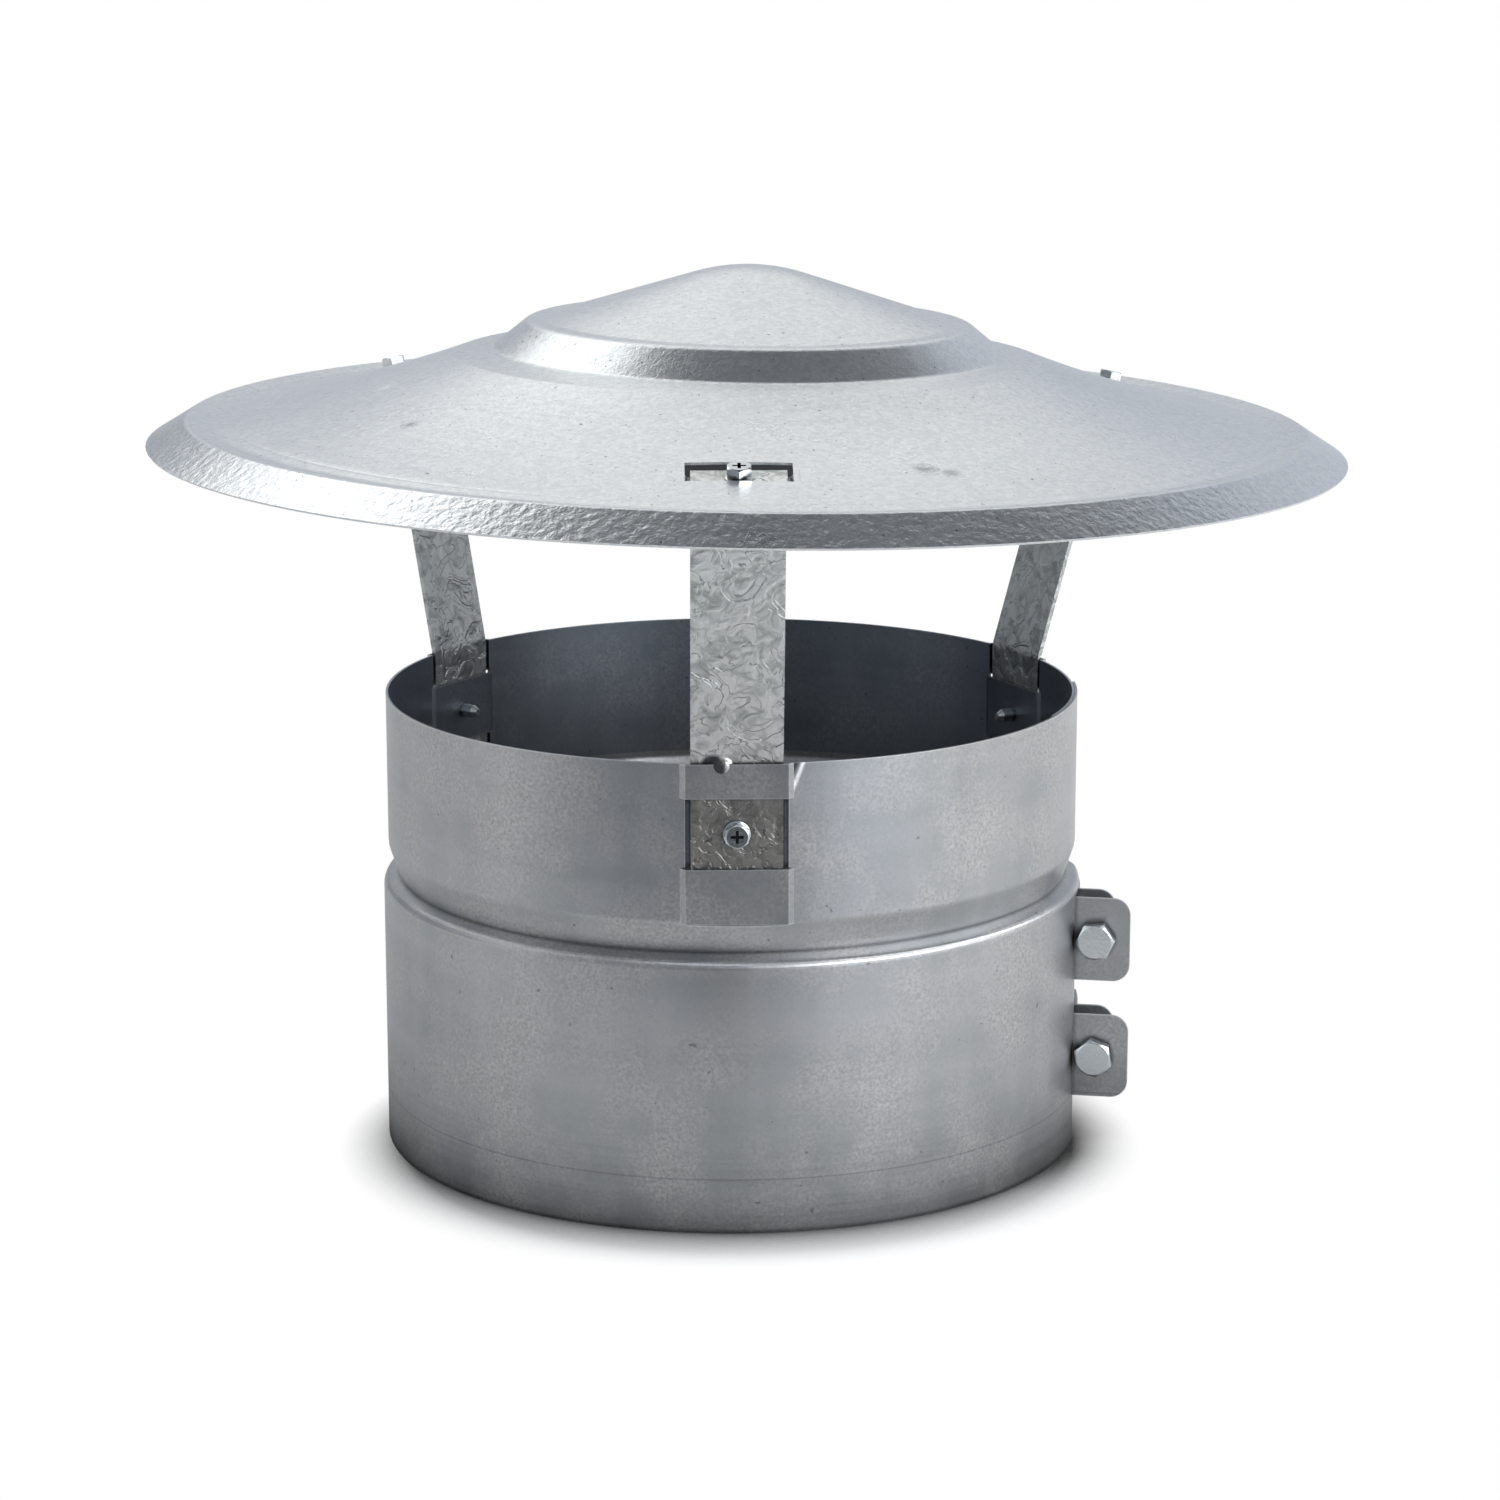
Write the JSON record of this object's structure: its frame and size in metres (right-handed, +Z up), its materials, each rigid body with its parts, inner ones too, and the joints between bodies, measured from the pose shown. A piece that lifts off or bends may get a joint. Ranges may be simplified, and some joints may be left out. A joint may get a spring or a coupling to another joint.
{
  "type": "chimney cap",
  "caption": "Round sheet-metal rain cap on three straps above a clamped collar that slips over a flue pipe.",
  "frame": {"origin": "on the collar's axis, in the plane of its bottom edge", "axes": "+Z up along the collar's axis, -Y towards the front strap, +X towards the clamp"},
  "size_m": [0.3413, 0.3414, 0.2548],
  "materials": {
    "hat_sheet": "galvanised sheet, pale satin with fine spangle",
    "collar_sheet": "galvanised sheet, smooth and slightly glossy",
    "strap_zinc": "hot-dip zinc, lumpy satin",
    "plated_fastener": "bright zinc plating"
  },
  "bodies": {
    "root": {"hat": "hat_sheet", "collar": "collar_sheet", "strap_front": "strap_zinc", "strap_left": "strap_zinc", "strap_right": "strap_zinc", "hat_screw_front": "plated_fastener", "hat_screw_left": "plated_fastener", "hat_screw_right": "plated_fastener", "collar_screw_front": "plated_fastener", "collar_screw_left": "plated_fastener", "collar_screw_right": "plated_fastener", "clamp_lug_upper": "collar_sheet", "clamp_lug_lower": "collar_sheet", "clamp_bolt_upper": "plated_fastener", "clamp_bolt_lower": "plated_fastener", "clamp_nut_upper": "plated_fastener", "clamp_nut_lower": "plated_fastener"}
  },
  "joints": []
}
